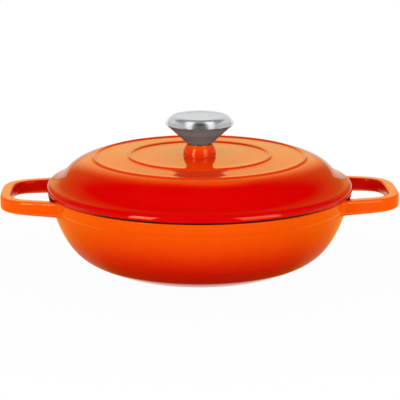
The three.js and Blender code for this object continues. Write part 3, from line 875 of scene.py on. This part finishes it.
def make_pan(finishes):
    profile, root_row = pan_profile()
    vertices, rings = lathe([point[:2] for point in profile], PAN_COLUMNS)
    handles = {0: 1, PAN_COLUMNS // 2: -1}
    openings = open_cells(root_row, handles)
    faces, strips = [], []
    for row, (near, far) in enumerate(zip(rings, rings[1:])):
        cells = enumerate(bridge(near, far))
        faces += [face for column, face in cells if (row, column) not in openings]
        strips += [profile[row][2]] * (len(faces) - len(strips))
    for middle, sign in handles.items():
        loops = [wall_ring(rings[root_row:], middle, -1)]
        for ring in handle_rings():
            loops.append(range(len(vertices), len(vertices) + len(ring)))
            vertices += [(sign * x, sign * y, z) for x, y, z in ring]
        loops.append(wall_ring(rings[root_row:], middle, 1))
        faces += swept(loops)
    strips += [OUTSIDE] * (len(faces) - len(strips))
    pan = mesh_object("enamelled_pan", vertices, faces, finishes, strips)
    smooth = pan.modifiers.new("smooth", "SUBSURF")
    smooth.levels = PAN_SUBDIVISION
    smooth.render_levels = PAN_SUBDIVISION
    return pan


# Lid
DOME_FOOT = Vector((LID_RADIUS - BRIM_WIDTH, LID_SEAT + LID_EDGE_BELOW + LID_EDGE_ABOVE + DOME_FOOT_RISE))
TOP_EDGE = Vector((DOME_FOOT.x - DOME_RUN, LID_SEAT + TOP_RISE))
DOME = (
    TOP_EDGE,
    polar(TOP_EDGE, -TOP_EDGE_ANGLE, TOP_EDGE_PULL),
    polar(DOME_FOOT, 180 - DOME_FOOT_ANGLE, DOME_FOOT_PULL),
    DOME_FOOT,
)


def crown_height(radius):
    return TOP_EDGE.y + CROWN * (1 - (radius / TOP_EDGE.x) ** 2)


def on_crown(radius, rise=0.0):
    return Vector((radius, crown_height(radius) + rise))


def bead(radius):
    points = []
    for i in range(BEAD_STEPS + 1):
        inward = 1 - 2 * i / BEAD_STEPS
        rise = BEAD_HEIGHT * math.cos(inward * math.pi / 2) ** 2
        points.append(on_crown(radius - inward * BEAD_WIDTH / 2, rise))
    return points


def lid_boss():
    """From the screw hole's top edge, down the boss and out on to the crown."""
    face = BOSS_TOP_RADIUS - BOSS_EDGE
    shoulder = Vector((BOSS_TOP_RADIUS, BOSS_TOP - BOSS_EDGE))
    foot = on_crown(BOSS_FOOT_RADIUS, BOSS_FILLET)
    middle = foot.lerp(shoulder, 0.5) + Vector((BOSS_BULGE, BOSS_BULGE)) * 2
    top = spots((SCREW_HOLE_RADIUS, BOSS_TOP), (face - SUPPORT, BOSS_TOP))
    edge = ellipse_arc((face, shoulder.y), BOSS_EDGE, BOSS_EDGE, 90, BOSS_EDGE_END)
    side = curve((shoulder, middle, foot))
    fillet_end = on_crown(BOSS_FOOT_RADIUS + BOSS_FILLET)
    fillet = curve((foot, on_crown(BOSS_FOOT_RADIUS), fillet_end), CORNER_STEPS)
    return top + edge + side[1:] + fillet[1:]


def lid_crown():
    """From the boss out over both beads, to where the top blends into the dome."""
    points = [on_crown(r) for r in (BOSS_FOOT_RADIUS + BOSS_FILLET + SUPPORT, *INNER_CROWN_RINGS)]
    points += bead(INNER_BEAD_RADIUS)
    points += [on_crown(r) for r in OUTER_CROWN_RINGS]
    points += bead(TOP_EDGE.x - OUTER_BEAD_INSET)
    return points + [on_crown(TOP_EDGE.x - TOP_EDGE_BLEND)]


def lid_dome(share):
    """From the top edge down to a share of the way to the foot."""
    steps = 2 * CURVE_STEPS
    return [bezier(DOME, share * i / steps) for i in range(steps + 1)]


def lid_cove(ledge_end):
    """The soft hollow from the dome's wall out to the ledge, which keeps the slope of both."""
    start = bezier(DOME, DOME_SHARE)
    downward = (bezier(DOME, DOME_SHARE + DOME_SLOPE_STEP) - start).normalized()
    outward = polar((0, 0), -LEDGE_SLOPE, 1)
    reach = (ledge_end - start).cross(outward) / downward.cross(outward)
    bend = start + downward * reach
    return curve((start, bend, bend + outward * reach), CURVE_STEPS // 2)


def lid_underturn(start, end):
    """The turn of the edge under itself, down to the seat."""
    centre = (LID_RADIUS - LID_EDGE_UNDERCUT, LID_SEAT + LID_EDGE_BELOW)
    return ellipse_arc(centre, LID_EDGE_UNDERCUT, LID_EDGE_BELOW, start, end, CORNER_STEPS)


def lid_brim():
    """From the dome's wall through the cove and over the rolled edge, to where the black coat starts."""
    centre = (LID_RADIUS - LID_EDGE_ROUND, LID_SEAT + LID_EDGE_BELOW)
    roll = ellipse_arc(centre, LID_EDGE_ROUND, LID_EDGE_ABOVE, 90 - LEDGE_SLOPE, 0)
    return lid_cove(roll[0]) + roll + lid_underturn(0, LID_SEAT_BLACK_FROM)[1:]


def lid_seat(lining_foot):
    """From the start of the black coat across the seat and round the skirt, to the foot of the lining."""
    skirt_inner = SKIRT_OUTER - SKIRT_WALL
    return lid_underturn(LID_SEAT_BLACK_FROM, -90)[1:-1] + softened([
        (LID_RADIUS - LID_EDGE_UNDERCUT, LID_SEAT, 0),
        (SKIRT_OUTER, LID_SEAT, SKIRT_EDGE),
        (SKIRT_OUTER, LID_LOW.z, SKIRT_EDGE),
        (skirt_inner, LID_LOW.z, SKIRT_EDGE),
        (skirt_inner, lining_foot.y - SKIRT_WALL, SKIRT_WALL),
        (lining_foot.x, lining_foot.y, 0),
    ], closed=False)[:-1]


def lid_hollow():
    """The lining, from its foot in to the screw hole."""
    lining = offset(lid_dome(1), -LID_WALL)[::-1]
    lining += [on_crown(r, -LID_WALL) for r in HOLLOW_RINGS]
    ceiling = crown_height(0) - LID_WALL
    flat = (CEILING_FLAT, SCREW_HOLE_RADIUS + SUPPORT, SCREW_HOLE_RADIUS)
    return lining + [Vector((r, ceiling)) for r in flat]


def make_lid(finishes):
    dome = lid_dome(DOME_SHARE)
    shown = lid_boss() + lid_crown()
    shown += curve((shown[-1], TOP_EDGE, dome[TOP_BLEND_STEPS]), CORNER_STEPS)[1:]
    shown += dome[TOP_BLEND_STEPS + 1:-1] + lid_brim()
    hollow = lid_hollow()
    seat = lid_seat(hollow[0])
    stretches = [OUTSIDE] * (len(shown) - 1) + [RIM] * len(seat) + [INSIDE] * (len(hollow) + 1)
    return turned("enamelled_lid", shown + seat + hollow, LID_SEGMENTS, finishes, stretches)


# Knob
def cone_radius(height):
    share = (height - CONE_LOW.z) / (CONE_HIGH.z - CONE_LOW.z)
    return KNOB_NECK_RADIUS + (CONE_HIGH.x - KNOB_NECK_RADIUS) * share


def make_cone(finishes):
    plate = GASKET_HIGH.z + SEAT_GAP
    recess = GASKET_HIGH.x + SEAT_GAP
    hole = INSERT_SPIGOT_RADIUS + SEAT_GAP
    wall_across = KNOB_WALL * math.hypot(1, (CONE_HIGH.x - KNOB_NECK_RADIUS) / (CONE_HIGH.z - CONE_LOW.z))
    outline = softened([
        (hole, plate, 0),
        (recess, plate, 0),
        (recess, CONE_LOW.z, KNOB_EDGE),
        (KNOB_NECK_RADIUS, CONE_LOW.z, KNOB_NECK_EDGE),
        (CONE_HIGH.x, CONE_HIGH.z, KNOB_EDGE),
        (CONE_HIGH.x - wall_across, CONE_HIGH.z, 0),
        (cone_radius(plate + KNOB_PLATE) - wall_across, plate + KNOB_PLATE, KNOB_WALL),
        (hole, plate + KNOB_PLATE, 0),
    ])
    return turned("steel_cone", outline, KNOB_SEGMENTS, finishes)


def cap_disc():
    """The knob's flat top, from its edge in over a fine step to the middle."""
    top, dish = CAP_HIGH.z, CAP_HIGH.z - KNOB_RING_DEPTH
    middle, inner = KNOB_RING_RADIUS - KNOB_RING_WIDTH / 2, KNOB_RING_RADIUS - KNOB_RING_WIDTH
    step = curve(((KNOB_RING_RADIUS, top), (middle, top), (middle, dish), (inner, dish)), CORNER_STEPS)
    edge = Vector((KNOB_FLAT_RADIUS - KNOB_DISC_EDGE, top))
    return [edge, *step, *(Vector((r, dish)) for r in KNOB_DISC_RINGS)]


def make_cap(finishes):
    """A spun shell: its lining, the spigot that sits in the cone, the lip, the shoulder and the disc."""
    lip_bottom = CONE_HIGH.z + SEAT_GAP
    widest = Vector((CAP_HIGH.x, lip_bottom + KNOB_LIP_EDGE))
    flat = Vector((KNOB_FLAT_RADIUS, CAP_HIGH.z))
    upright = widest + Vector((-KNOB_LIP_INSET, KNOB_SHOULDER_RISE))
    controls = (widest, upright, flat + Vector((KNOB_SHOULDER_RUN, 0)), flat)
    shoulder = curve(controls, 2 * CURVE_STEPS)
    lining = offset(shoulder, KNOB_WALL)[::-1]
    spigot = cone_radius(lip_bottom) - 2 * KNOB_WALL
    spigot_foot = cone_radius(CAP_LOW.z) - 2 * KNOB_WALL
    edge = spots(
        (spigot - KNOB_WALL, lip_bottom),
        (spigot_foot - KNOB_WALL, CAP_LOW.z),
        (spigot_foot, CAP_LOW.z),
        (spigot, lip_bottom),
        (widest.x - KNOB_LIP_EDGE, lip_bottom),
        widest,
        bezier(controls, KNOB_LIP_SUPPORT),
    )
    outline = [Vector((0, CAP_HIGH.z - KNOB_WALL)), *lining, *edge, *shoulder[1:], *cap_disc()]
    return turned("spun_cap", outline, KNOB_SEGMENTS, finishes, closed=False)


def make_insert(finishes):
    seat = INSERT_LOW.z + KNOB_PLATE + SEAT_GAP
    bore_top = INSERT_HIGH.z - INSERT_CROWN
    outline = softened([
        (0, bore_top, 0),
        (INSERT_BORE_RADIUS, bore_top, 0),
        (INSERT_BORE_RADIUS, INSERT_LOW.z, WASHER_EDGE),
        (INSERT_SPIGOT_RADIUS, INSERT_LOW.z, WASHER_EDGE),
        (INSERT_SPIGOT_RADIUS, seat, 0),
        (INSERT_HIGH.x, seat, WASHER_EDGE),
        (INSERT_HIGH.x, seat + INSERT_FLANGE, WASHER_EDGE),
        (INSERT_RADIUS, seat + INSERT_FLANGE, WASHER_EDGE),
        (INSERT_RADIUS, INSERT_HIGH.z, WASHER_EDGE),
        (0, INSERT_HIGH.z, 0),
    ], closed=False)
    return turned("brass_insert", outline, SMALL_SEGMENTS, finishes, closed=False)


# Fasteners
def washer_outline(low, high):
    corners = ((SCREW_HOLE_RADIUS, low.z), (high.x, low.z), (high.x, high.z), (SCREW_HOLE_RADIUS, high.z))
    return softened([(*corner, WASHER_EDGE) for corner in corners])


def make_spring_washer(finishes):
    """A ring with one slanting cut: the section is swept from one side of the cut round to the other."""
    section = washer_outline(LOCK_LOW, LOCK_HIGH)
    thickness = LOCK_HIGH.z - LOCK_LOW.z
    vertices, rings = [], []
    for i in range(SMALL_SEGMENTS + 1):
        share = i / SMALL_SEGMENTS
        rings.append(range(len(vertices), len(vertices) + len(section)))
        for radius, height in section:
            slant = SPLIT_SLANT * ((height - LOCK_LOW.z) / thickness - 0.5)
            turn = math.radians(slant + SPLIT_ANGLE / 2 + (360 - SPLIT_ANGLE) * share)
            vertices.append(on_circle(radius, turn, height))
    ends = [tuple(rings[0]), tuple(rings[-1])]
    washer = mesh_object("spring_washer", vertices, swept(rings) + ends, finishes)
    for end in washer.data.polygons[-2:]:
        end.use_smooth = False
    return washer


def thread_wave(turn, radius, height):
    """A right-handed thread cut into the screw's shank."""
    if abs(radius - SCREW_RADIUS) > TINY:
        return 0
    phase = (height / THREAD_PITCH - turn / (2 * math.pi)) % 1
    return -THREAD_DEPTH * abs(2 * phase - 1)


def drive_blade(turn, finishes):
    """One tapered arm of the screwdriver's cross, reaching a little out of the head."""
    vertices = []
    for reach, share in ((-DRIVE_PROUD, 1.0), (1.0, DRIVE_TAPER)):
        for x, y in ((-1, -1), (1, -1), (1, 1), (-1, 1)):
            corner = Vector((x * share * DRIVE_LENGTH / 2, y * share * DRIVE_WIDTH / 2, 0))
            corner.rotate(Matrix.Rotation(turn, 3, "Z"))
            vertices.append((corner.x, corner.y, SCREW_LOW.z + reach * DRIVE_DEPTH))
    faces = [(0, 3, 2, 1), (4, 5, 6, 7)] + bridge(range(4), range(4, 8))
    return mesh_object("drive_blade", vertices, faces, finishes)


def make_screw(finishes):
    head_top = SCREW_LOW.z + SCREW_HEAD_HEIGHT
    head_round = SCREW_HEAD_HEIGHT / 2
    head = softened([
        (0, SCREW_LOW.z, 0),
        (SCREW_HIGH.x - head_round, SCREW_LOW.z, head_round),
        (SCREW_HIGH.x, head_top - head_round, head_round),
        (SCREW_HIGH.x, head_top, WASHER_EDGE),
        (SCREW_RADIUS + SUPPORT, head_top, 0),
    ], closed=False)
    tip = SCREW_HIGH.z - THREAD_PITCH
    steps = round((tip - head_top) / THREAD_PITCH * THREAD_STEPS)
    shank = [Vector((SCREW_RADIUS, head_top + (tip - head_top) * i / steps)) for i in range(steps + 1)]
    end = spots((SCREW_RADIUS - THREAD_DEPTH - WASHER_EDGE, SCREW_HIGH.z), (0, SCREW_HIGH.z))
    outline = head + shank + end
    screw = turned("cross_screw", outline, SMALL_SEGMENTS, finishes, closed=False, wave=thread_wave)
    for turn in (0, math.pi / 2):
        carved(screw, drive_blade(turn, finishes))
    return screw


# Studio
def mirrored_floor(place, reach):
    """The table top's colour in mirror images, by the way it lies from the pan: painted orange light from
    the pan, pale at the foot and painted shade under it.
    """
    backward = remap(maths("DIVIDE", split(place)["Y"], reach), -1, 1)
    beside = product(remap(reach, *BESIDE_REACH, 1, 0), remap(backward, *BESIDE_TURN))
    around = tinted(beside, ramp(backward, FLOOR_MIRRORED), FLOOR_BESIDE_FOOT)
    outer = tinted(remap(reach, *FOOT_GLEAM, 1, 0), around, FLOOR_AT_FOOT)
    return tinted(remap(reach, BASE_RADIUS - FOOT_WIDTH, BASE_RADIUS), FLOOR_UNDER_PAN, outer)


def floor_finish():
    """White that keeps the shadow, glows more towards the edge and is clear from below."""
    material, place = new_material("table top")
    tree = material.node_tree
    reach = length(place)
    grey = tinted(noise(place, scale=400, detail=3), FLOOR_DARKER, FLOOR_PALER)
    matt = follow("BsdfDiffuse", {"Color": grey})
    glow = add(tree, "Emission", {"Color": WHITE}).outputs[0]
    outward = remap(reach, *FLOOR_FADE, FLOOR_GLOW, 1, smooth=True)
    shown = follow("MixShader", {0: outward, 1: matt, 2: glow})
    mirrored = follow("Emission", {"Color": mirrored_floor(place, reach)})
    glossy = add(tree, "LightPath").outputs["Is Glossy Ray"]
    top = follow("MixShader", {0: glossy, 1: shown, 2: mirrored})
    clear = add(tree, "BsdfTransparent").outputs[0]
    below = add(tree, "NewGeometry").outputs["Backfacing"]
    add(tree, "OutputMaterial", {"Surface": follow("MixShader", {0: below, 1: top, 2: clear})})
    return material


def make_floor():
    vertices, rings = lathe([(FLOOR_RADIUS, 0)], FLOOR_SEGMENTS)
    mesh = bpy.data.meshes.new("table_top")
    mesh.from_pydata(vertices, [], rings)
    mesh.materials.append(floor_finish())
    floor = bpy.data.objects.new("table_top", mesh)
    floor.visible_diffuse = False
    bpy.context.scene.collection.objects.link(floor)


def make_world():
    """White to the camera, a soft sky for matt surfaces, and dark with pale sides in mirror images."""
    world = bpy.data.worlds.new("studio")
    tree = blank_tree(world)
    way = split(add(tree, "TexCoord").outputs["Generated"])
    rise = way["Z"]
    ray = add(tree, "LightPath").outputs
    sky = remap(rise, 0, 1, SKY_LOW, SKY_HIGH)
    ground = remap(rise, -GROUND_FADE, 0, SKY_GROUND, 0)
    soft = product(maths("MAXIMUM", sky, ground), ray["Is Diffuse Ray"])
    sideways = remap(maths("ABSOLUTE", way["X"]), *SIDES_ACROSS, 0, SIDES_LEVEL, smooth=True)
    sides = product(sideways, remap(rise, *SIDES_RISE, 1, 0, smooth=True))
    behind = maths("GREATER_THAN", way["Y"], 0)
    far_floor = product(behind, maths("LESS_THAN", rise, FAR_FLOOR_TOP))
    mirrored = product(maths("MAXIMUM", sides, far_floor), ray["Is Glossy Ray"])
    tint = tinted(product(far_floor, ray["Is Glossy Ray"]), WHITE, FAR_FLOOR)
    room = follow("Background", {"Color": tint, "Strength": maths("ADD", soft, mirrored)})
    white = add(tree, "Background", {"Color": WHITE}).outputs[0]
    seen = follow("MixShader", {0: ray["Is Camera Ray"], 1: room, 2: white})
    add(tree, "OutputWorld", {"Surface": seen})
    bpy.context.scene.world = world


def make_lamp(name, lamp, lit, lean=0):
    """A soft rectangular lamp that lights a group of pieces."""
    turn, rise = math.radians(lamp.azimuth), math.radians(lamp.elevation)
    outward = Vector((math.sin(turn) * math.cos(rise), -math.cos(turn) * math.cos(rise), math.sin(rise)))
    light = bpy.data.lights.new(name, "AREA")
    light.shape = "RECTANGLE"
    light.size = lamp.width
    light.size_y = lamp.height
    light.energy = lamp.brightness * math.pi * lamp.width * lamp.height
    light.color = lamp.colour
    made = bpy.data.objects.new(name, light)
    made.location = LAMP_TARGET + outward * lamp.distance
    roll = Quaternion((0, 0, 1), math.radians(lean))
    made.rotation_euler = (outward.to_track_quat("Z", "Y") @ roll).to_euler()
    made.visible_camera = False
    made.light_linking.receiver_collection = lit
    bpy.context.scene.collection.objects.link(made)
    return light


def shine(light, strength):
    """Ends a lamp's node tree with white light, times its own brightness and colour."""
    glow = follow("Emission", {"Color": WHITE, "Strength": strength})
    add(light.node_tree, "OutputLight", {"Surface": glow})


def fade(light, plateau, upward=0, full_at=0, dim_from=1):
    """Dims a lamp from its bright middle, a share of its width, to its sides, and with upward 1 to its top.

    full_at is the share of its height up to which it brightens, and dim_from that from which it dims again.
    """
    at = split(add(blank_tree(light), "NewGeometry").outputs["Parametric"])
    across = maths("MULTIPLY_ADD", at["X"], 2, -1)
    along = maths("MULTIPLY_ADD", at["Y"], 2 * upward, -upward)
    off_middle = length(follow("CombineXYZ", {0: across, 1: along}))
    strength = remap(off_middle, plateau, 1, 1, 0, smooth=True)
    if full_at > 0:
        strength = product(strength, remap(at["Y"], full_at / 2, full_at, smooth=True))
    if dim_from < 1:
        strength = product(strength, remap(at["Y"], dim_from, 1, 1, 0, smooth=True))
    shine(light, strength)


def keep_to_first_sight(light):
    """Leaves a lamp's light out of mirror images, which then stay dark."""
    depth = add(blank_tree(light), "LightPath").outputs["Ray Depth"]
    shine(light, maths("LESS_THAN", depth, FIRST_SIGHT_DEPTH))


def group(name, pieces):
    """Pieces that a lamp is kept to."""
    made = bpy.data.collections.new(name)
    for piece in pieces:
        made.objects.link(piece)
    return made


def make_camera():
    """The photograph's view, a little to the left of square on."""
    rise, turn = math.radians(CAMERA_ELEVATION), math.radians(CAMERA_AZIMUTH)
    right = Vector((math.cos(turn), math.sin(turn), 0))
    ahead = Vector((-math.sin(turn) * math.cos(rise), math.cos(turn) * math.cos(rise), -math.sin(rise)))
    camera = bpy.data.objects.new("camera", bpy.data.cameras.new("camera"))
    camera.data.lens = CAMERA_LENS
    camera.data.sensor_width = CAMERA_SENSOR
    aim = Matrix((right, right.cross(ahead), -ahead)).transposed().to_4x4()
    camera.matrix_world = Matrix.Translation(CAMERA_TARGET - ahead * CAMERA_DISTANCE) @ aim
    bpy.context.scene.collection.objects.link(camera)
    bpy.context.scene.camera = camera


pan_enamel = enamel("pan enamel", PAN_SHADES, with_handles=True)
lid_enamel = enamel("lid enamel", LID_SHADES)
cream = cream_enamel()
rim_black = matt_black("rim coat")
seat_black = matt_black("seat coat", fades_to_red_beyond=LID_RADIUS - LID_EDGE_UNDERCUT)
cap_steel = spun_steel("cap steel", CAP_PALE, CAP_DARK, smoothest=0.2, roughest=0.32)
cone_steel = spun_steel(
    "cone steel", CONE_PALE, CONE_DARK, smoothest=0.45, roughest=0.6, mirror=CONE_MIRROR
)
screw_steel = machined_metal("screw steel", SCREW_PALE, SCREW_DARK, smoothest=0.25, roughest=0.42)
brass = machined_metal("brass", BRASS_PALE, BRASS_DARK, smoothest=0.25, roughest=0.45)

pan = make_pan([pan_enamel, rim_black, cream])
dress(pan, "pan", "pan_body")
lid = make_lid([lid_enamel, seat_black, cream])
dress(lid, "lid", "lid")
cone = make_cone([cone_steel])
dress(cone, "knob", "knob_cone")
cap = make_cap([cap_steel])
dress(cap, "knob", "knob_cap")
insert = make_insert([brass])
dress(insert, "knob", "knob_insert")
gasket = turned("rubber_gasket", washer_outline(GASKET_LOW, GASKET_HIGH), SMALL_SEGMENTS, [rubber()])
dress(gasket, "lid", "knob_gasket")
plain_washer = turned("plain_washer", washer_outline(FLAT_LOW, FLAT_HIGH), SMALL_SEGMENTS, [screw_steel])
dress(plain_washer, "lid", "flat_washer")
spring_washer = make_spring_washer([screw_steel])
dress(spring_washer, "lid", "lock_washer")
screw = make_screw([screw_steel])
dress(screw, "screw", "knob_screw")

make_floor()
make_world()
enamelled = group("enamelled pieces", [pan, lid])
metal = group("metal pieces", [cone, cap, insert, plain_washer, spring_washer, screw])
cone_only = group("knob cone", [cone])
make_lamp("left softbox", LEFT_SOFTBOX, enamelled)
make_lamp("right softbox", RIGHT_SOFTBOX, enamelled)
warm_backdrop = make_lamp("warm backdrop", WARM_BACKDROP, enamelled)
fade(warm_backdrop, WARM_PLATEAU, full_at=WARM_FULL_AT, dim_from=WARM_DIM_FROM)
fade(make_lamp("halo", HALO, enamelled), HALO_PLATEAU, upward=1)
fade(make_lamp("white backdrop", WHITE_BACKDROP, metal), WHITE_PLATEAU)
for side in (-1, 1):
    tall_softbox = TALL_SOFTBOX._replace(azimuth=side * TALL_SOFTBOX.azimuth)
    make_lamp("tall softbox", tall_softbox, metal, lean=-side * TALL_LEAN)
    make_lamp("side card", SIDE_CARD._replace(azimuth=side * SIDE_CARD.azimuth), metal)
make_lamp("ceiling", CEILING, metal)
make_lamp("front card", FRONT_CARD, metal)
keep_to_first_sight(make_lamp("knob lamp", KNOB_LAMP, cone_only))
make_camera()
bpy.context.scene.view_settings.view_transform = "Standard"
